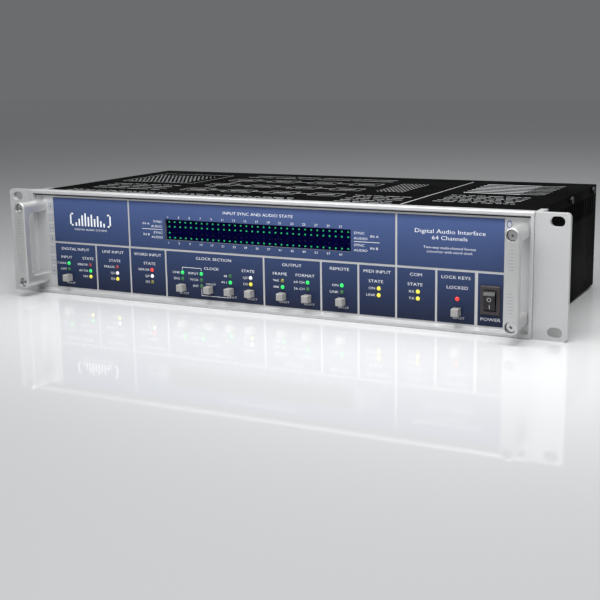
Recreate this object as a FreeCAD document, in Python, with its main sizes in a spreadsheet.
import FreeCAD, Part
import math
import os
from types import SimpleNamespace

from FreeCAD import Placement, Rotation, Vector
from Sketcher import Constraint

# Rack-mount digital audio interface, two rack units high, in millimetres.
# +X runs to the right seen from the front, +Y to the rear and +Z up.
# The origin is at the bottom of the whole unit, in the middle of its width and depth.
# y from face() is measured from the front of the rack ears, z from level() from mid-height.

SIZES = {
    "panel_width": 482.6,
    "panel_height": 88.1,
    "bezel_width": 434.2,
    "bezel_lip": 1.5,
    "bezel_back": 7.0,
    "rim_front": 2.55,
    "rim_back": 4.25,
    "rib_width": 2.4,
    "recess_depth": 2.0,
    "seam_width": 1.4,
    "seam_depth": 1.2,
    "seam_drop": 0.3,
    "ear_thick": 4.0,
    "ear_gap": 0.15,
    "ear_corner": 3.0,
    "slot_spacing_x": 465.1,
    "slot_spacing_z": 76.2,
    "slot_length": 10.2,
    "slot_radius": 3.6,
    "flange_thick": 4.7,
    "flange_back": 27.0,
    "flange_height": 86.0,
    "ear_screw_step": 26.0,
    "handle_x": 209.2,
    "handle_reach": 26.4,
    "handle_width": 10.4,
    "handle_span": 62.14,
    "grip_thick": 7.4,
    "handle_corner": 3.5,
    "handle_edge": 2.2,
    "grip_edge": 1.2,
    "bore_radius": 3.95,
    "bore_depth": 6.0,
    "bolt_radius": 2.0,
    "bolt_head_radius": 3.5,
    "bolt_head": 3.2,
    "bolt_clear": 0.25,
    "field_width": 391.8,
    "field_height": 76.3,
    "field_thick": 0.3,
    "divider": 1.7,
    "switch_divider": 2.4,
    "window_left": -83.4,
    "window_right": 80.3,
    "window_low": 8.1,
    "window_high": 24.75,
    "window_thick": 1.5,
    "window_play": 0.15,
    "dot_side": 1.0,
    "dot_thick": 0.5,
    "dot_pitch": 5.08,
    "dot_first": -80.2,
    "dot_row_1": 22.5,
    "dot_row_2": 18.7,
    "dot_row_3": 13.65,
    "dot_row_4": 9.85,
    "mask_front": 4.0,
    "lamp_radius": 1.5,
    "lamp_front": 0.9,
    "lamp_round": 0.9,
    "lamp_row_1": -17.6,
    "lamp_row_2": -22.65,
    "lamp_row_3": -27.55,
    "lock_lamp": -20.5,
    "hole_play": 0.15,
    "input_x": -182.55,
    "input_state_x": -160.0,
    "digital_state_x": -132.3,
    "word_state_x": -97.5,
    "source_x": -68.0,
    "source_more_x": -50.3,
    "mode_x": -42.7,
    "rate_x": -23.7,
    "clock_state_x": -5.3,
    "frame_x": 22.7,
    "format_x": 44.25,
    "remote_x": 72.7,
    "message_x": 102.45,
    "serial_x": 132.95,
    "lock_x": 162.55,
    "key_z": -29.6,
    "key_side": 5.4,
    "key_proud": 4.7,
    "key_back": 12.0,
    "key_edge": 0.6,
    "key_play": 0.4,
    "key_collar": 7.2,
    "key_collar_front": 7.8,
    "key_collar_thick": 1.0,
    "plunger_front": 13.4,
    "plunger_radius": 1.75,
    "tact_side": 6.2,
    "tact_front": 13.9,
    "front_board_y": 17.0,
    "board_thick": 1.6,
    "switch_x": 187.0,
    "switch_z": -19.4,
    "switch_width": 14.2,
    "switch_height": 20.5,
    "switch_body_width": 12.4,
    "switch_body_height": 18.8,
    "switch_body_back": 20.0,
    "switch_edge": 0.8,
    "pivot_depth": 4.0,
    "rocker_width": 8.2,
    "rocker_radius": 8.28,
    "rocker_face": 6.0,
    "rocker_ridge": 5.6,
    "rocker_shoulder": 62.0,
    "rocker_heel": 100.0,
    "rocker_back": 4.5,
    "rocker_back_half": 3.0,
    "rocker_play": 0.35,
    "rocker_tilt": 14.0,
    "pivot_radius": 1.0,
    "pivot_length": 10.8,
    "pivot_play": 0.05,
    "case_width": 428.4,
    "case_depth": 203.4,
    "case_top": 42.84,
    "case_bottom": -42.2,
    "sheet": 1.2,
    "case_flange": 10.0,
    "floor_flange": 6.0,
    "lid_lip": 4.6,
    "vent_first": 57.0,
    "vent_pitch": 6.3,
    "vent_count": 22,
    "vent_width": 3.0,
    "vent_low": 19.5,
    "vent_high": 35.3,
    "pad_radius": 8.0,
    "pad_x": 190.0,
    "pad_front": 30.0,
    "pad_rear": 185.0,
    "screw_radius": 1.5,
    "screw_head_radius": 2.8,
    "screw_head": 1.6,
    "screw_length": 6.0,
    "screw_play": 0.1,
    "lid_screw_first": 40.0,
    "lid_screw_middle": 115.0,
    "lid_screw_last": 190.0,
    "rear_screw_inset": 6.0,
    "rear_screw_z": 30.0,
    "lid_screw_z": 39.2,
    "socket_reach": 12.0,
    "upper_row": 16.0,
    "lower_row": -14.0,
    "bank_first": -176.0,
    "bank_pitch": 58.0,
    "serial_port_x": 139.0,
    "bnc_first": 38.0,
    "bnc_pitch": 18.0,
    "optical_x": 80.0,
    "midi_x": 108.0,
    "inlet_x": 180.0,
    "inlet_width": 30.0,
    "inlet_height": 44.0,
    "inlet_lip": 2.0,
    "inlet_front": 180.0,
    "socket_width": 24.0,
    "socket_height": 16.4,
    "socket_depth": 17.0,
    "socket_z": 7.0,
    "drawer_z": -11.0,
    "drawer_width": 23.0,
    "drawer_height": 7.6,
    "drawer_depth": 20.0,
    "drawer_play": 0.35,
    "fuse_radius": 2.6,
    "fuse_length": 18.0,
    "main_left": -205.0,
    "main_right": 118.0,
    "main_front": 30.0,
    "main_back": 194.0,
    "supply_left": 128.0,
    "supply_right": 208.0,
    "supply_front": 60.0,
    "supply_back": 174.0,
    "board_z": -34.0,
    "board_edge": 6.0,
    "spacer_radius": 3.0,
    "chip_side": 27.0,
    "chip_height": 2.6,
    "chip_x": -45.0,
    "chip_y": 96.0,
    "sink_side": 36.0,
    "sink_base": 3.0,
    "sink_fin": 12.0,
    "sink_fins": 7,
    "ribbon_x": -60.0,
    "ribbon_width": 50.0,
    "ribbon_thick": 1.2,
    "ribbon_plug": 9.0,
    "ribbon_rise": 22.0,
    "ribbon_run": 14.0,
    "lead_width": 4.0,
    "lead_z": -22.0,
    "lead_bulge": 16.0,
    "lead_bend": 12.0,
    "d_shell_half": 4.18,
    "d_body_half": 5.3,
    "d_body_over": 0.8,
    "d_body_back": 8.0,
    "d_flange_half": 6.2,
    "d_flange_thick": 1.0,
    "d_shell_front": 6.0,
    "d_slant": 1.47,
    "d_corner": 1.2,
    "contact_step": 2.76,
    "contact_level": 1.42,
    "contact_radius": 0.55,
    "contact_depth": 4.0,
    "bank_shell": 19.48,
    "bank_flange": 26.5,
    "bank_jack": 23.52,
    "serial_shell": 8.46,
    "serial_flange": 15.4,
    "serial_jack": 12.5,
    "jack_radius": 1.45,
    "jack_hexagon": 2.75,
    "jack_front": 5.0,
    "jack_back": 6.0,
    "jack_bore": 1.2,
    "cut_play": 0.15,
    "bnc_barrel": 4.8,
    "bnc_bore": 4.0,
    "bnc_bore_depth": 9.0,
    "bnc_body": 6.2,
    "bnc_body_back": 9.0,
    "bnc_lug": 0.9,
    "bnc_lug_length": 11.4,
    "bnc_lug_at": 8.5,
    "bnc_centre": 2.4,
    "bnc_centre_back": 9.5,
    "bnc_contact": 0.7,
    "bnc_nut": 8.0,
    "bnc_nut_thick": 2.2,
    "optical_half": 13.2,
    "optical_half_height": 5.7,
    "optical_front": 8.0,
    "optical_back": 12.0,
    "optical_step": 12.7,
    "optical_hole": 9.2,
    "optical_hole_height": 7.8,
    "optical_hole_back": 3.0,
    "optical_tip": 1.25,
    "optical_tip_front": 1.5,
    "midi_radius": 8.0,
    "midi_front": 2.0,
    "midi_back": 10.0,
    "midi_ring": 7.0,
    "midi_ring_back": 6.0,
    "midi_core": 6.2,
    "midi_pin": 0.9,
    "midi_pin_circle": 4.45,
    "midi_pin_depth": 5.0,
    "inlet_side": 1.5,
    "inlet_end": 6.0,
    "blade_thick": 2.0,
    "blade_width": 4.0,
    "blade_length": 10.0,
    "blade_spread": 7.0,
    "blade_drop": 2.0,
    "blade_rise": 2.4,
    "tab_half": 5.0,
    "tab_thick": 1.6,
    "fuse_inset": 8.0,
    "fuse_play": 0.2,
    "hex_key": 1.2,
    "hex_key_large": 1.3,
    "bezel_edge": 0.9,
    "ear_screw_reach": 3.0,
    "chip_small_width": 8.0,
    "chip_small_length": 10.0,
    "chip_small_height": 2.0,
    "fin_thick": 1.5,
    "coil_width": 10.0,
    "coil_length": 9.0,
    "coil_height": 6.0,
    "core_x": 166.0,
    "core_y": 110.0,
    "core_width": 32.0,
    "core_length": 28.0,
    "core_height": 24.0,
    "winding_width": 22.0,
    "winding_length": 38.0,
    "winding_low": 5.0,
    "winding_high": 19.0,
    "can_radius": 8.0,
    "can_height": 25.0,
    "stud_radius": 2.0,
    "stud_height": 12.0,
    "stud_nut": 4.0,
    "stud_nut_thick": 3.2,
    "stud_x": 150.0,
    "stud_y": 190.0,
}

half_box = (SIZES["case_depth"] + SIZES["socket_reach"] - SIZES["handle_reach"]) / 2
SIZES["face_y"] = -half_box
SIZES["mid_z"] = SIZES["panel_height"] / 2

KEYS = {
    "input_button": "input_x",
    "clock_source_button": "source_x",
    "clock_mode_button": "mode_x",
    "clock_rate_button": "rate_x",
    "clock_state_button": "clock_state_x",
    "frame_button": "frame_x",
    "format_button": "format_x",
    "remote_button": "remote_x",
    "lock_button": "lock_x",
}

# Each column of lamps from the top row down, by colour and by whether it is alight.
LAMPS = {
    "input_x": ("green_on", "green_off", None),
    "input_state_x": ("red_off", "green_on", "yellow_on"),
    "digital_state_x": ("red_off", "white_on", "yellow_on"),
    "word_state_x": ("red_on", "white_on", "yellow_off"),
    "source_x": ("green_on", "green_off", None),
    "source_more_x": ("green_on", "green_off", "green_off"),
    "rate_x": ("green_off", "green_on", None),
    "clock_state_x": ("white_on", "yellow_on", None),
    "frame_x": ("yellow_off", "green_on", None),
    "format_x": ("green_on", "green_off", None),
    "remote_x": ("green_on", "green_off", None),
    "message_x": ("yellow_on", "yellow_on", None),
    "serial_x": ("yellow_on", "yellow_on", None),
}

# Middle of each divider between the printed fields, for the upper and the lower row.
UPPER_DIVIDERS = (-118.5, 116.1)
LOWER_DIVIDERS = (-153.3, -118.8, -83.8, 6.45, 55.5, 86.15, 116.1, 146.8)
SWITCH_DIVIDER = 176.45

UP = Rotation()
FRONTWARD = Rotation(Vector(0, 0, 1), Vector(0, -1, 0))
REARWARD = Rotation(Vector(0, 0, 1), Vector(0, 1, 0))
RIGHTWARD = Rotation(Vector(0, 0, 1), Vector(1, 0, 0))
LEFTWARD = Rotation(Vector(0, 0, 1), Vector(-1, 0, 0))


class Size:
    """A number together with the sheet formula that it comes from."""

    def __init__(self, value, text=None):
        self.value = float(value)
        self.text = text or repr(float(value))

    def joined(self, other, sign, value):
        return Size(value, f"({self.text} {sign} {other.text})")

    def __add__(self, other):
        other = as_size(other)
        return self.joined(other, "+", self.value + other.value)

    def __sub__(self, other):
        other = as_size(other)
        return self.joined(other, "-", self.value - other.value)

    def __mul__(self, other):
        other = as_size(other)
        return self.joined(other, "*", self.value * other.value)

    def __truediv__(self, other):
        other = as_size(other)
        return self.joined(other, "/", self.value / other.value)

    def __neg__(self):
        return Size(-self.value, f"(0 - {self.text})")

    def __radd__(self, other):
        return as_size(other) + self

    def __rsub__(self, other):
        return as_size(other) - self

    def __rmul__(self, other):
        return as_size(other) * self


def as_size(item):
    return item if isinstance(item, Size) else Size(item)


doc = FreeCAD.newDocument("audio_interface")
sheet = doc.addObject("Spreadsheet::Sheet", "Dims")
for row, (alias, number) in enumerate(SIZES.items(), 1):
    sheet.set(f"A{row}", alias)
    sheet.set(f"B{row}", str(number))
    sheet.setAlias(f"B{row}", alias)
doc.recompute()
d = SimpleNamespace(**{name: Size(value, f"Dims.{name}") for name, value in SIZES.items()})
parts = []


def column(name):
    return Size(SIZES[name], f"Dims.{name}")


def face(distance):
    """y at a distance behind the front of the rack ears."""
    return d.face_y + distance


def level(height):
    """z at a height above the middle of the front."""
    return d.mid_z + height


# ---- document helpers ----

def part(name, item):
    item.Label = name
    parts.append(item)
    return item


def bind(item, **values):
    for prop, value in values.items():
        item.setExpression(prop, as_size(value).text)


def place(item, x=0, y=0, z=0, turn=UP):
    item.Placement = Placement(Vector(), turn)
    for axis, value in zip("xyz", (x, y, z)):
        item.setExpression(f".Placement.Base.{axis}", as_size(value).text)
    return item


def block(x, y, z):
    """Box between the two ends given along each axis."""
    item = doc.addObject("Part::Box", "Block")
    bind(item, Length=x[1] - as_size(x[0]), Width=y[1] - as_size(y[0]), Height=z[1] - as_size(z[0]))
    return place(item, x[0], y[0], z[0])


def rod(radius, length, at=(0, 0, 0), turn=UP):
    item = doc.addObject("Part::Cylinder", "Rod")
    bind(item, Radius=radius, Height=length)
    return place(item, *at, turn)


def hexagon(radius, length, at=(0, 0, 0), turn=UP):
    """Six-sided bar, radius to its corners."""
    item = doc.addObject("Part::Prism", "Hexagon")
    item.Polygon = 6
    bind(item, Circumradius=radius, Height=length)
    return place(item, *at, turn)


def group(items):
    item = doc.addObject("Part::Compound", "Group")
    item.Links = items
    return item


def join(items):
    item = doc.addObject("Part::MultiFuse", "Joined")
    item.Shapes = items
    return item


def cut(base, tools):
    item = doc.addObject("Part::Cut", "Cut")
    item.Base = base
    item.Tool = tools[0] if len(tools) == 1 else group(tools)
    return item


def mirrored(source):
    """The same piece on the other side of the middle."""
    item = doc.addObject("Part::Mirroring", "Mirror")
    item.Source = source
    item.Normal = Vector(1, 0, 0)
    return item


def copies(master, spots, turn=UP):
    links = []
    for spot in spots:
        link = doc.addObject("App::Link", "Copy")
        link.LinkedObject = master
        link.LinkTransform = True
        links.append(place(link, *spot, turn))
    return group(links)


# ---- sketch helpers ----

def new_body(name):
    return doc.addObject("PartDesign::Body", name)


def new_sketch(body, role, lift=0):
    """Sketch on an origin plane of the body, lifted along the plane's normal."""
    sketch = body.newObject("Sketcher::SketchObject", "Outline")
    plane = next(item for item in body.Origin.OriginFeatures if item.Role == role)
    sketch.AttachmentSupport = [(plane, "")]
    sketch.MapMode = "FlatFace"
    sketch.setExpression(".AttachmentOffset.Base.z", as_size(lift).text)
    return sketch


def fix_point(sketch, line, end, across, along):
    """Hold a point at its two distances from the sketch's origin."""
    for kind, axis, value in (("DistanceX", -2, across), ("DistanceY", -1, along)):
        value = as_size(value)
        if value.value == 0:
            sketch.addConstraint(Constraint("PointOnObject", line, end, axis))
            continue
        index = sketch.addConstraint(Constraint(kind, -1, 1, line, end, value.value))
        sketch.setExpression(f"Constraints[{index}]", value.text)


def polygon(sketch, points):
    points = [(as_size(across), as_size(along)) for across, along in points]
    corners = [Vector(across.value, along.value, 0) for across, along in points]
    first = sketch.GeometryCount
    count = len(corners)
    for index, corner in enumerate(corners):
        sketch.addGeometry(Part.LineSegment(corner, corners[(index + 1) % count]), False)
    for index, (across, along) in enumerate(points):
        here = first + index
        sketch.addConstraint(Constraint("Coincident", here, 2, first + (index + 1) % count, 1))
        fix_point(sketch, here, 1, across, along)


def rectangle(sketch, across, along):
    left, right = across
    low, high = along
    polygon(sketch, [(left, low), (right, low), (right, high), (left, high)])


def circle(sketch, across, along, radius):
    across, along, radius = as_size(across), as_size(along), as_size(radius)
    centre = Vector(across.value, along.value, 0)
    here = sketch.addGeometry(Part.Circle(centre, Vector(0, 0, 1), radius.value), False)
    fix_point(sketch, here, 3, across, along)
    index = sketch.addConstraint(Constraint("Radius", here, radius.value))
    sketch.setExpression(f"Constraints[{index}]", radius.text)


def long_round(sketch, ends, radius):
    """Slot outline: two half circles about the end points, joined by straight sides."""
    radius = as_size(radius)
    low, high = [tuple(as_size(value) for value in end) for end in ends]
    low_at = Vector(low[0].value, low[1].value, 0)
    high_at = Vector(high[0].value, high[1].value, 0)
    run = (high_at - low_at).normalize()
    side = Vector(-run.y, run.x, 0) * radius.value
    turn = math.atan2(run.y, run.x)
    up = Vector(0, 0, 1)
    half = math.pi / 2
    first = sketch.GeometryCount
    high_round = Part.Circle(high_at, up, radius.value)
    low_round = Part.Circle(low_at, up, radius.value)
    sketch.addGeometry(Part.ArcOfCircle(high_round, turn - half, turn + half), False)
    sketch.addGeometry(Part.LineSegment(high_at + side, low_at + side), False)
    sketch.addGeometry(Part.ArcOfCircle(low_round, turn + half, turn + 3 * half), False)
    sketch.addGeometry(Part.LineSegment(low_at - side, high_at - side), False)
    for index in range(4):
        sketch.addConstraint(Constraint("Tangent", first + index, 2, first + (index + 1) % 4, 1))
    fix_point(sketch, first, 3, *high)
    fix_point(sketch, first + 2, 3, *low)
    index = sketch.addConstraint(Constraint("Radius", first, radius.value))
    sketch.setExpression(f"Constraints[{index}]", radius.text)


def pad(body, sketch, length, back=False, middle=False):
    item = body.newObject("PartDesign::Pad", "Pad")
    item.Profile = sketch
    bind(item, Length=length)
    item.Reversed = back
    item.Midplane = middle
    doc.recompute()
    return item


def pocket(body, sketch, depth, back=False, middle=False):
    """Pocket that is checked to have taken material away."""
    before = body.Shape.Volume
    item = body.newObject("PartDesign::Pocket", "Pocket")
    item.Profile = sketch
    bind(item, Length=depth)
    item.Reversed = back
    item.Midplane = middle
    doc.recompute()
    if not body.Shape.Volume < before - 1e-6:
        raise RuntimeError(f"{body.Label}: a pocket cuts nothing")
    return item


def edges(feature, wanted):
    """Names of the feature's edges whose box satisfies wanted."""
    return [f"Edge{index}" for index, edge in enumerate(feature.Shape.Edges, 1) if wanted(edge.BoundBox)]


def rounded(body, feature, wanted, radius):
    item = body.newObject("PartDesign::Fillet", "Round")
    item.Base = (feature, edges(feature, wanted))
    bind(item, Radius=radius)
    doc.recompute()
    return item


def near(first, second):
    return abs(first - second) < 1e-3


def screw(radius, length, head_radius, head, socket_radius):
    """Socket screw along +Z, with its head's underside at z = 0."""
    shank = rod(radius, length, (0, 0, -as_size(length)))
    cap = rod(head_radius, head)
    return cut(join([shank, cap]), [hexagon(socket_radius, head, (0, 0, head * 0.4))])


# ---- front ----

KEY_SPOTS = [(column(name), level(d.key_z)) for name in KEYS.values()]
HANDLE_SPOTS = [(side * d.handle_x, level(end * d.handle_span / 2)) for side in (-1, 1) for end in (-1, 1)]
LAMP_ROWS = (d.lamp_row_1, d.lamp_row_2, d.lamp_row_3)


def lamp_spots(colour=None):
    """x and z of every status lamp, or of those of one colour and state."""
    spots = []
    for name, states in LAMPS.items():
        for height, state in zip(LAMP_ROWS, states):
            if state and colour in (None, state):
                spots.append((column(name), level(height)))
    if colour in (None, "red_on"):
        spots.append((d.lock_x, level(d.lock_lamp)))
    return spots


def drilled(spots, radius, y):
    """Round holes through everything between two depths, at each x and z."""
    drill = rod(radius, y[1] - as_size(y[0]), turn=REARWARD)
    return copies(drill, [(x, y[0], z) for x, z in spots])


def key_holes(y):
    half = d.key_side / 2 + d.key_play
    slot = block((-half, half), (0, y[1] - as_size(y[0])), (-half, half))
    return copies(slot, [(x, y[0], z) for x, z in KEY_SPOTS])


def window_hole(y):
    return block((d.window_left, d.window_right), y, (level(d.window_low), level(d.window_high)))


def switch_hole(y, width, height):
    x = (d.switch_x - width / 2, d.switch_x + width / 2)
    return block(x, y, (level(d.switch_z - height / 2), level(d.switch_z + height / 2)))


def front_bezel():
    """Panel with a sloping rim round its recess and a dark seam along the rim's top foot."""
    plate = new_body("bezel_plate")
    place(plate, 0, face(0), d.mid_z)
    outline = new_sketch(plate, "XZ_Plane", d.bezel_lip)
    wide = d.bezel_width / 2
    high = d.panel_height / 2
    rectangle(outline, (-wide, wide), (-high, high))
    slab = pad(plate, outline, d.bezel_lip + d.bezel_back, back=True)
    lip = -SIZES["bezel_lip"]
    top = SIZES["panel_height"] / 2
    rounded(plate, slab, lambda b: near(b.YMin, lip) and near(b.YMax, lip) and near(abs(b.ZMin), top)
            and near(abs(b.ZMax), top), d.bezel_edge)
    recess = doc.addObject("Part::Wedge", "Recess")
    inner = wide - d.rib_width
    bind(recess, Xmin=-inner, X2min=-inner, Xmax=inner, X2max=inner)
    bind(recess, Ymin=-d.bezel_lip, Ymax=d.recess_depth)
    bind(recess, Zmin=d.rim_front - high, Zmax=high - d.rim_front)
    bind(recess, Z2min=d.rim_back - high, Z2max=high - d.rim_back)
    place(recess, 0, face(0), d.mid_z)
    depth = (face(0), face(d.bezel_back + 1))
    play = d.hole_play * 2
    tools = [recess, window_hole(depth), key_holes(depth)]
    seam_low = high - d.rim_back - d.seam_drop
    tools.append(block((-inner, inner), (face(0), face(d.recess_depth + d.seam_depth)),
                       (level(seam_low), level(seam_low + d.seam_width))))
    tools.append(drilled(lamp_spots(), d.lamp_radius + d.hole_play, depth))
    tools.append(drilled(HANDLE_SPOTS, d.bolt_radius + d.screw_play, depth))
    tools.append(switch_hole(depth, d.switch_body_width + play, d.switch_body_height + play))
    part("front_bezel", cut(plate, tools))


def field_row(dividers, z):
    """Blue fields side by side, with a bare line between neighbours."""
    lines = [(Size(middle), d.divider) for middle in dividers]
    if len(dividers) > 2:
        lines.append((Size(SWITCH_DIVIDER), d.switch_divider))
    left = -d.field_width / 2
    y = (face(d.recess_depth - d.field_thick), face(d.recess_depth))
    fields = []
    for middle, width in lines:
        fields.append(block((left, middle - width / 2), y, z))
        left = middle + width / 2
    fields.append(block((left, d.field_width / 2), y, z))
    return fields


def blue_fields():
    high = d.field_height / 2
    fields = field_row(UPPER_DIVIDERS, (level(d.divider / 2), level(high)))
    fields += field_row(LOWER_DIVIDERS, (level(-high), level(-d.divider / 2)))
    depth = (face(0), face(d.recess_depth + 1))
    play = d.hole_play * 2
    tools = [window_hole(depth), key_holes(depth)]
    tools.append(drilled(lamp_spots(), d.lamp_radius + d.hole_play, depth))
    tools.append(switch_hole(depth, d.switch_body_width + play, d.switch_body_height + play))
    tools.append(switch_hole(depth, d.switch_width + play, d.switch_height + play))
    part("blue_fields", cut(group(fields), tools))


def rack_ears():
    ear = new_body("ear")
    place(ear, 0, face(0), d.mid_z)
    inner = d.bezel_width / 2 + d.ear_gap
    outer = d.panel_width / 2
    high = d.panel_height / 2
    outline = new_sketch(ear, "XZ_Plane")
    rectangle(outline, (inner, outer), (-high, high))
    plate = pad(ear, outline, d.ear_thick, back=True)
    side = SIZES["panel_width"] / 2
    rounded(ear, plate, lambda b: near(b.XMin, side) and near(b.XMax, side)
            and near(b.ZMin, b.ZMax), d.ear_corner)
    slots = new_sketch(ear, "XZ_Plane")
    middle = d.slot_spacing_x / 2
    reach = d.slot_length / 2 - d.slot_radius
    for end in (-1, 1):
        height = end * d.slot_spacing_z / 2
        long_round(slots, ((middle - reach, height), (middle + reach, height)), d.slot_radius)
    pocket(ear, slots, d.ear_thick + 1)
    flange = new_sketch(ear, "XY_Plane")
    near_case = d.case_width / 2 + 0.1
    far_side = near_case + d.flange_thick
    step = d.bezel_back + 0.1
    polygon(flange, [(inner, 1), (far_side, 1), (far_side, d.flange_back), (near_case, d.flange_back),
                     (near_case, step), (inner, step)])
    pad(ear, flange, d.flange_height, middle=True)
    across = (d.case_width / 2, far_side + 1)
    drill = rod(d.screw_radius + d.screw_play, across[1] - across[0], turn=RIGHTWARD)
    holes = copies(drill, [(across[0], y, z) for x, y, z in ear_screw_spots(1)])
    right = cut(ear, [holes])
    part("rack_ear_right", right)
    part("rack_ear_left", mirrored(right))


def ear_screw_spots(side):
    x = side * (d.case_width / 2 + 0.1 + d.flange_thick)
    depth = face((d.bezel_back + d.flange_back) / 2)
    return [(x, depth, level(step * d.ear_screw_step)) for step in (-1, 0, 1)]


def ear_screws():
    length = d.flange_thick + d.ear_screw_reach
    master = screw(d.screw_radius, length, d.screw_head_radius, d.screw_head, d.hex_key)
    part("ear_screws", group([copies(master, ear_screw_spots(1), RIGHTWARD),
                              copies(master, ear_screw_spots(-1), LEFTWARD)]))


def handle(name, side):
    grip = new_body(name)
    place(grip, side * d.handle_x, face(d.recess_depth), d.mid_z)
    reach = d.handle_reach + d.recess_depth
    ends = ((0, -d.handle_span / 2), (0, d.handle_span / 2))
    outline = new_sketch(grip, "XZ_Plane")
    long_round(outline, ends, d.handle_width / 2)
    pad(grip, outline, reach)
    gap = new_sketch(grip, "YZ_Plane")
    half = d.handle_span / 2 - d.handle_width / 2
    rectangle(gap, (d.grip_thick - reach, 1), (-half, half))
    hollow = pocket(grip, gap, d.handle_width + 2, middle=True)
    under = SIZES["grip_thick"] - SIZES["handle_reach"] - SIZES["recess_depth"]
    corners = rounded(grip, hollow, lambda b: near(b.YMin, under) and near(b.YMax, under)
                      and near(b.ZMin, b.ZMax), d.handle_corner)
    wide = SIZES["handle_width"] / 2
    inside = SIZES["handle_span"] / 2 - wide + 1e-3
    loop = rounded(grip, corners, lambda b: near(b.XMin, b.XMax) and near(abs(b.XMin), wide)
                   and b.YMin > under - 1e-3 and max(abs(b.ZMin), abs(b.ZMax)) < inside, d.handle_edge)
    front = -SIZES["handle_reach"] - SIZES["recess_depth"]
    rounded(grip, loop, lambda b: near(b.YMin, front) and near(b.YMax, front), d.grip_edge)
    bores = new_sketch(grip, "XZ_Plane", reach)
    circle(bores, *ends[0], d.bore_radius)
    circle(bores, *ends[1], d.bore_radius)
    pocket(grip, bores, d.bore_depth)
    shanks = new_sketch(grip, "XZ_Plane", reach)
    circle(shanks, *ends[0], d.bolt_radius + d.bolt_clear)
    circle(shanks, *ends[1], d.bolt_radius + d.bolt_clear)
    pocket(grip, shanks, reach + 1)
    part(name, grip)


def handle_bolts():
    length = d.handle_reach - d.bore_depth + d.bezel_back + d.sheet + 1
    master = screw(d.bolt_radius, length, d.bolt_head_radius, d.bolt_head, d.hex_key_large)
    seat = face(d.bore_depth - d.handle_reach)
    part("handle_bolts", copies(master, [(x, seat, z) for x, z in HANDLE_SPOTS], FRONTWARD))


def display():
    play = d.window_play
    x = (d.window_left + play, d.window_right - play)
    z = (level(d.window_low + play), level(d.window_high - play))
    start = face(d.recess_depth - d.field_thick)
    part("display_window", block(x, (start, start + d.window_thick), z))
    part("display_mask", block(x, (face(d.mask_front), face(d.front_board_y)), z))
    half = d.dot_side / 2
    dot = block((-half, half), (0, d.dot_thick), (-half, half))
    depth = face(d.mask_front) - d.dot_thick
    across = [d.dot_first + d.dot_pitch * step for step in range(32)]
    lit_rows = (d.dot_row_1, d.dot_row_2, d.dot_row_4)
    lit = [(x, depth, level(row)) for row in lit_rows for x in across]
    lit.append((across[0], depth, level(d.dot_row_3)))
    part("display_dots_on", copies(dot, lit))
    part("display_dots_off", copies(dot, [(x, depth, level(d.dot_row_3)) for x in across[1:]]))


def lamps():
    guide = new_body("light_guide")
    outline = new_sketch(guide, "XZ_Plane")
    circle(outline, 0, 0, d.lamp_radius)
    stem = pad(guide, outline, d.front_board_y - d.lamp_front, back=True)
    rounded(guide, stem, lambda b: near(b.YMin, 0) and near(b.YMax, 0), d.lamp_round)
    for state in ("green_on", "green_off", "yellow_on", "yellow_off", "red_on", "red_off", "white_on"):
        spots = [(x, face(d.lamp_front), z) for x, z in lamp_spots(state)]
        part(f"lamps_{state}", copies(guide, spots))


def push_keys():
    for name, place_name in KEYS.items():
        key = new_body(name)
        place(key, column(place_name), face(0), level(d.key_z))
        half = d.key_side / 2
        outline = new_sketch(key, "XZ_Plane", d.key_proud)
        rectangle(outline, (-half, half), (-half, half))
        stem = pad(key, outline, d.key_proud + d.key_back, back=True)
        front = -SIZES["key_proud"]
        rounded(key, stem, lambda b: near(b.YMin, front) and near(b.YMax, front), d.key_edge)
        collar = new_sketch(key, "XZ_Plane", -d.key_collar_front)
        half = d.key_collar / 2
        rectangle(collar, (-half, half), (-half, half))
        pad(key, collar, d.key_collar_thick, back=True)
        part(name, key)


def key_switches():
    half = d.tact_side / 2
    shell = block((-half, half), (d.tact_front, d.front_board_y), (-half, half))
    plunger = rod(d.plunger_radius, d.tact_front - d.plunger_front, (0, d.plunger_front, 0), REARWARD)
    master = join([shell, plunger])
    part("key_switches", copies(master, [(x, face(0), z) for x, z in KEY_SPOTS]))


def power_switch():
    pivot = (d.switch_x, face(d.pivot_depth), level(d.switch_z))
    half_wide = d.switch_width / 2
    half_high = d.switch_height / 2
    frame = new_body("switch_frame")
    place(frame, d.switch_x, face(d.recess_depth), level(d.switch_z))
    outline = new_sketch(frame, "XZ_Plane")
    rectangle(outline, (-half_wide, half_wide), (-half_high, half_high))
    slab = pad(frame, outline, d.recess_depth)
    front = -SIZES["recess_depth"]
    rounded(frame, slab, lambda b: near(b.YMin, front) and near(b.YMax, front), d.switch_edge)
    shell = switch_hole((face(d.recess_depth), face(d.switch_body_back)), d.switch_body_width,
                        d.switch_body_height)
    inside = d.rocker_width / 2 + d.rocker_play
    cavity = rod(d.rocker_radius + d.rocker_play, inside * 2, (pivot[0] - inside, pivot[1], pivot[2]),
                 RIGHTWARD)
    reach = d.pivot_length / 2 + 0.2
    seat = rod(d.pivot_radius + d.pivot_play, reach * 2, (pivot[0] - reach, pivot[1], pivot[2]), RIGHTWARD)
    part("power_switch_housing", cut(join([frame, shell]), [cavity, seat]))

    rocker = new_body("power_rocker")
    place(rocker, *pivot, Rotation(Vector(1, 0, 0), SIZES["rocker_tilt"]))
    outline = new_sketch(rocker, "YZ_Plane")
    rocker_outline(outline)
    pad(rocker, outline, d.rocker_width, middle=True)
    pin = new_sketch(rocker, "YZ_Plane")
    circle(pin, 0, 0, d.pivot_radius)
    pad(rocker, pin, d.pivot_length, middle=True)
    part("power_rocker", rocker)


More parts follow.
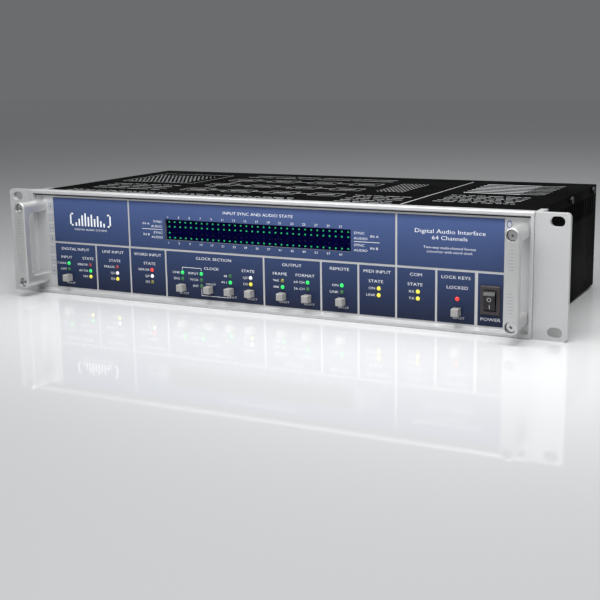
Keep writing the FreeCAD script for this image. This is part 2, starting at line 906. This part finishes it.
def rocker_outline(sketch):
    """Flat face between two ridges, round ends about the pivot, tapered back."""
    radius = SIZES["rocker_radius"]
    shoulder = math.radians(SIZES["rocker_shoulder"])
    heel = math.radians(SIZES["rocker_heel"])
    shoulder_at = (-radius * math.cos(shoulder), radius * math.sin(shoulder))
    heel_at = (-radius * math.cos(heel), radius * math.sin(heel))
    ring = Part.Circle(Vector(), Vector(0, 0, 1), radius)
    here = [sketch.addGeometry(Part.ArcOfCircle(ring, math.pi - heel, math.pi - shoulder), False),
            sketch.addGeometry(Part.ArcOfCircle(ring, math.pi + shoulder, math.pi + heel), False)]
    for arc in here:
        sketch.addConstraint(Constraint("Coincident", arc, 3, -1, 1))
        index = sketch.addConstraint(Constraint("Radius", arc, radius))
        sketch.setExpression(f"Constraints[{index}]", d.rocker_radius.text)
    rear_half = SIZES["rocker_back_half"]
    points = [shoulder_at, (-SIZES["rocker_face"], SIZES["rocker_ridge"]),
              (-SIZES["rocker_face"], -SIZES["rocker_ridge"]), (shoulder_at[0], -shoulder_at[1])]
    back = [(heel_at[0], -heel_at[1]), (SIZES["rocker_back"], -rear_half),
            (SIZES["rocker_back"], rear_half), heel_at]
    front_lines = chain(sketch, points)
    back_lines = chain(sketch, back)
    for arc, end, line, line_end in ((here[0], 2, front_lines[0], 1), (here[1], 1, front_lines[-1], 2),
                                     (here[1], 2, back_lines[0], 1), (here[0], 1, back_lines[-1], 2)):
        sketch.addConstraint(Constraint("Coincident", arc, end, line, line_end))
    fix_point(sketch, front_lines[1], 1, -d.rocker_face, d.rocker_ridge)
    fix_point(sketch, front_lines[1], 2, -d.rocker_face, -d.rocker_ridge)
    fix_point(sketch, back_lines[1], 1, d.rocker_back, -d.rocker_back_half)
    fix_point(sketch, back_lines[1], 2, d.rocker_back, d.rocker_back_half)
    for line, end, side in ((front_lines[0], 1, 1), (front_lines[-1], 2, -1)):
        index = sketch.addConstraint(Constraint("DistanceY", -1, 1, line, end, side * shoulder_at[1]))
        height = f"Dims.rocker_radius * sin(Dims.rocker_shoulder * 1 deg) * {side}"
        sketch.setExpression(f"Constraints[{index}]", height)
    for line, end, side in ((back_lines[0], 1, -1), (back_lines[-1], 2, 1)):
        index = sketch.addConstraint(Constraint("DistanceY", -1, 1, line, end, side * heel_at[1]))
        height = f"Dims.rocker_radius * sin(Dims.rocker_heel * 1 deg) * {side}"
        sketch.setExpression(f"Constraints[{index}]", height)


def chain(sketch, points):
    """Open run of joined lines through the points."""
    lines = []
    for start, end in zip(points, points[1:]):
        lines.append(sketch.addGeometry(Part.LineSegment(Vector(*start, 0), Vector(*end, 0)), False))
    for first, second in zip(lines, lines[1:]):
        sketch.addConstraint(Constraint("Coincident", first, 2, second, 1))
    return lines


# ---- case ----

PAD_SPOTS = [(side * d.pad_x, face(y)) for side in (-1, 1) for y in (d.pad_front, d.pad_rear)]


def lid_screw_spots(side):
    edge = side * d.case_width / 2
    along = (d.lid_screw_first, d.lid_screw_middle, d.lid_screw_last)
    return [(edge, face(y), level(d.lid_screw_z)) for y in along]


def rear_screw_spots():
    across = d.case_width / 2 - d.rear_screw_inset
    corners = [(side, end) for side in (-1, 1) for end in (-1, 1)]
    return [(side * across, face(d.case_depth), level(end * d.rear_screw_z)) for side, end in corners]


def bored(spots, turn, length=8.0):
    """Clearance holes for case screws whose heads sit at the spots."""
    drill = rod(d.screw_radius + d.screw_play, length, (0, 0, -length / 2))
    return copies(drill, spots, turn)


def case_frame(tray, depth, reverse):
    """Inward flange round the sides and floor of one end of the tray."""
    outline = new_sketch(tray, "XZ_Plane", -as_size(depth))
    wide = d.case_width / 2 - d.sheet / 2
    low = d.case_bottom + d.sheet / 2
    high = d.case_top - d.sheet
    inner = wide - d.case_flange
    step = low + d.floor_flange
    polygon(outline, [(-wide, low), (wide, low), (wide, high), (inner, high), (inner, step), (-inner, step),
                      (-inner, high), (-wide, high)])
    pad(tray, outline, d.sheet, back=reverse)


def chassis_tray():
    tray = new_body("tray")
    place(tray, 0, face(0), d.mid_z)
    wide = d.case_width / 2
    inner = wide - d.sheet
    low = d.case_bottom
    high = d.case_top - d.sheet
    profile = new_sketch(tray, "XZ_Plane", -d.bezel_back)
    polygon(profile, [(-wide, low), (wide, low), (wide, high), (inner, high), (inner, low + d.sheet),
                      (-inner, low + d.sheet), (-inner, high), (-wide, high)])
    pad(tray, profile, d.case_depth - d.bezel_back, back=True)
    case_frame(tray, d.bezel_back, True)
    case_frame(tray, d.case_depth - d.sheet, False)
    vents = new_sketch(tray, "YZ_Plane")
    for step in range(SIZES["vent_count"]):
        along = d.vent_first + d.vent_pitch * step
        radius = d.vent_width / 2
        long_round(vents, ((along, d.vent_low + radius), (along, d.vent_high - radius)), radius)
    pocket(tray, vents, d.case_width + 2, middle=True)
    front_wall = (face(d.bezel_back - 1), face(d.bezel_back + 3))
    tools = [drilled(HANDLE_SPOTS, d.bolt_radius + d.screw_play, front_wall)]
    for side, turn in ((1, RIGHTWARD), (-1, LEFTWARD)):
        tools.append(bored(ear_screw_spots(side), turn, 18.0))
        tools.append(bored(lid_screw_spots(side), turn))
    tools.append(bored(rear_screw_spots(), REARWARD))
    part("chassis_tray", cut(tray, tools))


def top_cover():
    wide = d.case_width / 2
    lip = wide - d.sheet - 0.1
    y = (face(d.bezel_back + 0.1), face(d.case_depth))
    sheet_z = (level(d.case_top - d.sheet), level(d.case_top))
    lip_z = (level(d.case_top - d.sheet - d.lid_lip), level(d.case_top - d.sheet / 2))
    lip_y = (face(d.bezel_back + 3), face(d.case_depth - 3))
    pieces = [block((-wide, wide), y, sheet_z)]
    pieces.append(block((lip - d.sheet, lip), lip_y, lip_z))
    pieces.append(block((-lip, d.sheet - lip), lip_y, lip_z))
    tools = [bored(lid_screw_spots(1), RIGHTWARD), bored(lid_screw_spots(-1), LEFTWARD)]
    part("top_cover", cut(join(pieces), tools))


def rear_panel():
    wide = d.case_width / 2 - d.sheet - 0.1
    y = (face(d.case_depth - d.sheet), face(d.case_depth))
    low = level(d.case_bottom + d.sheet + 0.1)
    high = level(d.case_top - d.sheet - 0.1)
    through = (face(d.case_depth - 3), face(d.case_depth + 1))
    tools = [bored(rear_screw_spots(), REARWARD), bored(inlet_screw_spots(), REARWARD)]
    play = d.cut_play
    jack_hole = d.jack_radius + play
    sockets = [(x, z, d.bank_shell, d.bank_jack) for x, z in BANK_SPOTS]
    sockets.append((*SERIAL_SPOT, d.serial_shell, d.serial_jack))
    tall = d.d_body_half + play
    for x, z, shell, jack in sockets:
        half = shell + d.d_body_over + play
        tools.append(block((x - half, x + half), through, (z - tall, z + tall)))
        tools.append(drilled([(x - jack, z), (x + jack, z)], jack_hole, through))
    tools.append(drilled(BNC_SPOTS, d.bnc_body + play, through))
    tools.append(drilled(MIDI_SPOTS, d.midi_radius + play, through))
    half, high_half = d.optical_half + play, d.optical_half_height + play
    for x, z in OPTICAL_SPOTS:
        tools.append(block((x - half, x + half), through, (z - high_half, z + high_half)))
    half_wide = d.inlet_width / 2 - d.inlet_side + play
    half_high = d.inlet_height / 2 - d.inlet_end + play
    tools.append(block((d.inlet_x - half_wide, d.inlet_x + half_wide), through,
                       (level(-half_high), level(half_high))))
    part("rear_panel", cut(block((-wide, wide), y, (low, high)), tools))


def case_screws():
    master = screw(d.screw_radius, d.screw_length, d.screw_head_radius, d.screw_head, d.hex_key)
    inlet = [(x, y + d.inlet_lip, z) for x, y, z in inlet_screw_spots()]
    part("case_screws", group([copies(master, lid_screw_spots(1), RIGHTWARD),
                               copies(master, lid_screw_spots(-1), LEFTWARD),
                               copies(master, rear_screw_spots() + inlet, REARWARD)]))


def base_pads():
    thick = level(d.case_bottom)
    master = rod(d.pad_radius, thick)
    part("base_pads", copies(master, [(x, y, 0) for x, y in PAD_SPOTS]))


# ---- rear connectors ----

REAR_ROWS = (d.upper_row, d.lower_row)
BANK_SPOTS = [(d.bank_first + d.bank_pitch * step, level(z)) for z in REAR_ROWS for step in range(4)]
SERIAL_SPOT = (d.serial_port_x, level(d.upper_row))
BNC_SPOTS = [(d.bnc_first + d.bnc_pitch * step, level(z)) for z in REAR_ROWS for step in range(2)]
MIDI_SPOTS = [(d.midi_x, level(z)) for z in REAR_ROWS]
OPTICAL_SPOTS = [(d.optical_x, level(z)) for z in REAR_ROWS]


def inlet_screw_spots():
    return [(d.inlet_x, face(d.case_depth), level(side * (d.inlet_height / 2 - 3.2))) for side in (-1, 1)]


def d_connector(shell_half, flange_half, jack, upper_contacts):
    """Socket of the D-shaped family: flange, slanted shell, two rows of contact holes, rear block."""
    socket = new_body("d_socket")
    flange = new_sketch(socket, "XZ_Plane")
    rectangle(flange, (-flange_half, flange_half), (-d.d_flange_half, d.d_flange_half))
    pad(socket, flange, d.d_flange_thick, back=True)
    shell = new_sketch(socket, "XZ_Plane")
    high = d.d_shell_half
    narrow = shell_half - d.d_slant
    polygon(shell, [(-shell_half, high), (-narrow, -high), (narrow, -high), (shell_half, high)])
    front = pad(socket, shell, d.d_shell_front, back=True)
    tall = SIZES["d_shell_front"] - SIZES["d_flange_thick"] - 0.5
    rounded(socket, front, lambda b: near(b.XMin, b.XMax) and b.YMax - b.YMin > tall, d.d_corner)
    rear = new_sketch(socket, "XZ_Plane")
    half = shell_half + d.d_body_over
    rectangle(rear, (-half, half), (-d.d_body_half, d.d_body_half))
    pad(socket, rear, d.d_body_back)
    contacts = new_sketch(socket, "XZ_Plane", -d.d_shell_front)
    for count, height in ((upper_contacts, d.contact_level), (upper_contacts - 1, -d.contact_level)):
        for step in range(count):
            circle(contacts, (step - (count - 1) / 2) * d.contact_step, height, d.contact_radius)
    pocket(socket, contacts, d.contact_depth, back=True)
    holes = new_sketch(socket, "XZ_Plane", -d.d_flange_thick)
    circle(holes, -jack, 0, d.jack_radius + d.cut_play)
    circle(holes, jack, 0, d.jack_radius + d.cut_play)
    pocket(socket, holes, d.d_flange_thick, back=True)
    return socket


def d_sockets():
    rear = face(d.case_depth)
    bank = d_connector(d.bank_shell, d.bank_flange, d.bank_jack, 13)
    part("multi_channel_sockets", copies(bank, [(x, rear, z) for x, z in BANK_SPOTS]))
    serial = d_connector(d.serial_shell, d.serial_flange, d.serial_jack, 5)
    part("serial_socket", copies(serial, [(SERIAL_SPOT[0], rear, SERIAL_SPOT[1])]))
    shank = rod(d.jack_radius, d.jack_back, (0, 0, -d.jack_back))
    stud = join([hexagon(d.jack_hexagon, d.jack_front), shank])
    post = cut(stud, [rod(d.jack_bore, d.jack_front, (0, 0, d.jack_bore))])
    spots = [(x + side * d.bank_jack, z) for x, z in BANK_SPOTS for side in (-1, 1)]
    spots += [(SERIAL_SPOT[0] + side * d.serial_jack, SERIAL_SPOT[1]) for side in (-1, 1)]
    part("socket_jack_posts", copies(post, [(x, rear + d.d_flange_thick, z) for x, z in spots], REARWARD))


def coaxial_sockets():
    rear = face(d.case_depth)
    reach = d.socket_reach
    lugs = rod(d.bnc_lug, d.bnc_lug_length, (-d.bnc_lug_length / 2, 0, d.bnc_lug_at), RIGHTWARD)
    body = rod(d.bnc_body, d.bnc_body_back, (0, 0, -d.bnc_body_back))
    barrel = join([rod(d.bnc_barrel, reach), body, lugs])
    hollow = rod(d.bnc_bore, d.bnc_bore_depth, (0, 0, reach - d.bnc_bore_depth))
    stem = rod(d.bnc_centre, d.bnc_centre_back - 1.5, (0, 0, reach - d.bnc_centre_back))
    centre = cut(stem, [rod(d.bnc_contact, reach, (0, 0, reach / 2))])
    master = join([cut(barrel, [hollow]), centre])
    part("coaxial_sockets", copies(master, [(x, rear, z) for x, z in BNC_SPOTS], REARWARD))
    thick = d.bnc_nut_thick
    nut = cut(hexagon(d.bnc_nut, thick), [rod(d.bnc_barrel + d.screw_play, thick)])
    part("coaxial_nuts", copies(nut, [(x, rear, z) for x, z in BNC_SPOTS], REARWARD))


def optical_sockets():
    rear = face(d.case_depth)
    wide, high = d.optical_half, d.optical_half_height
    shell = block((-wide, wide), (-d.optical_back, d.optical_front), (-high, high))
    half, half_high = d.optical_hole / 2, d.optical_hole_height / 2
    tools = []
    tips = []
    for side in (-1, 1):
        middle = side * d.optical_step / 2
        tools.append(block((middle - half, middle + half), (-d.optical_hole_back, d.optical_front + 1),
                           (-half_high, half_high)))
        start = -d.optical_hole_back - 0.5
        tips.append(rod(d.optical_tip, d.optical_tip_front - start, (middle, start, 0), REARWARD))
    master = join([cut(shell, tools)] + tips)
    part("optical_sockets", copies(master, [(x, rear, z) for x, z in OPTICAL_SPOTS]))


def midi_sockets():
    rear = face(d.case_depth)
    whole = rod(d.midi_radius, d.midi_front + d.midi_back, (0, 0, -d.midi_back))
    ring = cut(whole, [rod(d.midi_ring, d.midi_ring_back + d.midi_front, (0, 0, -d.midi_ring_back))])
    core = rod(d.midi_core, d.midi_ring_back + 1, (0, 0, -d.midi_ring_back - 1))
    pins = []
    for step in range(5):
        turn = math.radians(45 * step)
        across, along = d.midi_pin_circle * math.cos(turn), d.midi_pin_circle * -math.sin(turn)
        pins.append(rod(d.midi_pin, d.midi_pin_depth + 1, (across, along, -d.midi_pin_depth)))
    master = join([ring, cut(core, pins)])
    part("midi_sockets", copies(master, [(x, rear, z) for x, z in MIDI_SPOTS], REARWARD))


def power_inlet():
    rear = d.case_depth
    half_wide = d.inlet_width / 2
    half_high = d.inlet_height / 2
    x = d.inlet_x
    lip = block((x - half_wide, x + half_wide), (face(rear), face(rear + d.inlet_lip)),
                (level(-half_high), level(half_high)))
    inner_wide = half_wide - d.inlet_side
    inner_high = half_high - d.inlet_end
    shell = block((x - inner_wide, x + inner_wide), (face(d.inlet_front), face(rear)),
                  (level(-inner_high), level(inner_high)))
    half_socket = d.socket_width / 2
    half_high = d.socket_height / 2
    socket = block((x - half_socket, x + half_socket),
                   (face(rear + d.inlet_lip - d.socket_depth), face(rear + 3)),
                   (level(d.socket_z - half_high), level(d.socket_z + half_high)))
    play = d.drawer_play
    half_drawer = d.drawer_width / 2 + play
    bay_high = d.drawer_height / 2 + play
    bay = block((x - half_drawer, x + half_drawer),
                (face(rear + d.inlet_lip - d.drawer_depth - play), face(rear + 3)),
                (level(d.drawer_z - bay_high), level(d.drawer_z + bay_high)))
    part("power_inlet", cut(join([lip, shell]), [socket, bay, bored(inlet_screw_spots(), REARWARD)]))

    thick, wide = d.blade_thick / 2, d.blade_width / 2
    blade = block((-thick, thick), (0, d.blade_length), (-wide, wide))
    spots = ((-d.blade_spread, -d.blade_drop), (d.blade_spread, -d.blade_drop), (0, d.blade_rise))
    base = face(rear + d.inlet_lip - d.socket_depth)
    feet = [(x + across, base, level(d.socket_z + up)) for across, up in spots]
    part("power_inlet_pins", copies(blade, feet))

    half = d.drawer_width / 2
    high = d.drawer_height / 2
    end = rear + d.inlet_lip
    body = block((x - half, x + half), (face(end - d.drawer_depth), face(end)),
                 (level(d.drawer_z - high), level(d.drawer_z + high)))
    tab = block((x - d.tab_half, x + d.tab_half), (face(end), face(end + d.tab_thick)),
                (level(d.drawer_z + d.tab_thick), level(d.drawer_z + high)))
    room = d.fuse_radius + d.fuse_play
    long = d.fuse_length / 2 + d.fuse_play
    axis = end - d.fuse_inset
    well = block((x - long, x + long), (face(axis - room), face(axis + room)),
                 (level(d.drawer_z - room), level(d.drawer_z + high + 1)))
    part("fuse_drawer", cut(join([body, tab]), [well]))
    fuse_end = (x - d.fuse_length / 2, face(axis), level(d.drawer_z))
    fuse = rod(d.fuse_radius, d.fuse_length, fuse_end, RIGHTWARD)
    part("mains_fuse", fuse)


# ---- inside ----

MAIN_SPOTS = [(x, y) for x in (-198.0, -95.0, 8.0, 111.0) for y in (37.0, 187.0)]
SUPPLY_SPOTS = [(x, y) for x in (135.0, 201.0) for y in (67.0, 167.0)]
CAN_SPOTS = [(148.0, 78.0), (168.0, 78.0), (188.0, 78.0), (168.0, 146.0)]


def board(x, y, spots):
    """Circuit board lying on the standoffs, with its screw holes."""
    slab = block(x, (face(y[0]), face(y[1])), (level(d.board_z), level(d.board_z + d.board_thick)))
    drill = rod(d.screw_radius + d.screw_play, d.board_thick + 2)
    holes = copies(drill, [(across, face(along), level(d.board_z - 1)) for across, along in spots])
    return cut(slab, [holes])


def boards():
    part("main_board", board((d.main_left, d.main_right), (d.main_front, d.main_back), MAIN_SPOTS))
    x = (d.supply_left, d.supply_right)
    part("supply_board", board(x, (d.supply_front, d.supply_back), SUPPLY_SPOTS))
    x = (d.input_x - d.key_collar, d.lock_x + d.key_collar)
    y = (face(d.front_board_y), face(d.front_board_y + d.board_thick))
    part("front_board", block(x, y, (level(-d.field_height / 2), level(d.window_high + d.key_collar))))


def board_fixings():
    floor = d.case_bottom + d.sheet
    tall = d.board_z - floor
    spacer = cut(hexagon(d.spacer_radius, tall), [rod(d.screw_radius + d.screw_play, tall)])
    spots = MAIN_SPOTS + SUPPLY_SPOTS
    part("board_standoffs", copies(spacer, [(x, face(y), level(floor)) for x, y in spots]))
    master = screw(d.screw_radius, d.screw_length, d.screw_head_radius, d.screw_head, d.hex_key)
    top = level(d.board_z + d.board_thick)
    part("board_screws", copies(master, [(x, face(y), top) for x, y in spots]))


def chips():
    top = d.board_z + d.board_thick
    half = d.chip_side / 2
    large = block((d.chip_x - half, d.chip_x + half), (face(d.chip_y - half), face(d.chip_y + half)),
                  (level(top), level(top + d.chip_height)))
    wide, long = d.chip_small_width / 2, d.chip_small_length / 2
    small = block((-wide, wide), (-long, long), (0, d.chip_small_height))
    spots = [(-180.0 + 19.0 * step, face(62.0), level(top)) for step in range(6)]
    spots += [(20.0 + 19.0 * step, face(110.0), level(top)) for step in range(5)]
    part("logic_chips", group([large, copies(small, spots)]))
    half = d.sink_side / 2
    low = level(top + d.chip_height)
    base = block((d.chip_x - half, d.chip_x + half), (face(d.chip_y - half), face(d.chip_y + half)),
                 (low, low + d.sink_base))
    step = (d.sink_side - d.fin_thick) / (d.sink_fins - 1)
    fin = block((0, d.fin_thick), (0, d.sink_side), (0, d.sink_fin))
    fins = [(d.chip_x - half + step * index, face(d.chip_y - half), low + d.sink_base)
            for index in range(SIZES["sink_fins"])]
    part("chip_heatsink", join([base, copies(fin, fins)]))


def pulse_transformers():
    top = level(d.board_z + d.board_thick)
    wide, long = d.coil_width / 2, d.coil_length / 2
    coil = block((-wide, wide), (-long, long), (0, d.coil_height))
    spots = [(-182.0 + 13.0 * step, face(y), top) for y in (145.0, 158.0) for step in range(16)]
    part("pulse_transformers", copies(coil, spots))


def supply_parts():
    top = level(d.board_z + d.board_thick)
    x, y = d.core_x, face(d.core_y)
    wide, long = d.core_width / 2, d.core_length / 2
    core = block((x - wide, x + wide), (y - long, y + long), (top, top + d.core_height))
    wide, long = d.winding_width / 2, d.winding_length / 2
    winding = block((x - wide, x + wide), (y - long, y + long), (top + d.winding_low, top + d.winding_high))
    part("supply_transformer", join([core, winding]))
    can = rod(d.can_radius, d.can_height)
    part("supply_capacitors", copies(can, [(x, face(y), top) for x, y in CAN_SPOTS]))


def cables():
    body = new_body("ribbon")
    place(body, d.ribbon_x, face(0), d.mid_z)
    side = new_sketch(body, "YZ_Plane")
    start = d.front_board_y + d.board_thick
    low = d.board_z + d.board_thick
    high = low + d.ribbon_rise
    bend = start + d.ribbon_plug
    land = low + d.ribbon_plug
    thick = d.ribbon_thick
    end = d.main_front + d.ribbon_run
    upper = [(start, high), (bend, high), (end + thick, land), (end + thick, low)]
    lower = [(end, low), (end, land), (bend - thick, high - thick), (start, high - thick)]
    polygon(side, upper + lower)
    pad(body, side, d.ribbon_width, middle=True)
    part("ribbon_cable", body)

    lead = new_body("lead")
    place(lead, 0, face(0), d.mid_z)
    flat = new_sketch(lead, "XY_Plane", d.lead_z)
    wide = d.lead_width
    near_x, far_x = d.switch_x, d.switch_x + d.lead_bulge
    front, back = d.switch_body_back, d.inlet_front
    bend, straight = d.lead_bend, d.lead_width
    polygon(flat, [(near_x, front), (near_x + wide, front), (near_x + wide, front + straight),
                   (far_x + wide, front + straight + bend), (far_x + wide, back - straight - bend),
                   (near_x + wide, back - straight), (near_x + wide, back), (near_x, back),
                   (near_x, back - straight * 2), (far_x, back - straight * 2 - bend),
                   (far_x, front + straight * 2 + bend), (near_x, front + straight * 2)])
    pad(lead, flat, wide, middle=True)
    part("mains_lead", lead)


def earth_stud():
    floor = level(d.case_bottom + d.sheet)
    nut = hexagon(d.stud_nut, d.stud_nut_thick, (0, 0, d.stud_radius))
    stud = join([rod(d.stud_radius, d.stud_height), nut])
    part("earth_stud", copies(stud, [(d.stud_x, face(d.stud_y), floor)]))


def save():
    """Check every object, then write each sub-part to its own file."""
    doc.recompute()
    for item in doc.Objects:
        if {"Invalid", "Error"} & set(item.State):
            raise RuntimeError(f"{item.Name} ({item.Label}) failed: {item.State}")
    os.makedirs("parts", exist_ok=True)
    for item in parts:
        if item.Shape.isNull() or not item.Shape.isValid():
            raise RuntimeError(f"{item.Label} has no valid shape")
        item.Shape.exportStep(f"parts/{item.Label}.step")


for build in (front_bezel, blue_fields, rack_ears, ear_screws, handle_bolts, display, lamps, push_keys,
              key_switches, power_switch, chassis_tray, top_cover, rear_panel, case_screws, base_pads,
              d_sockets, coaxial_sockets, optical_sockets, midi_sockets, power_inlet, boards,
              board_fixings, chips, pulse_transformers, supply_parts, cables, earth_stud):
    build()
for name, side in (("handle_left", -1), ("handle_right", 1)):
    handle(name, side)
save()
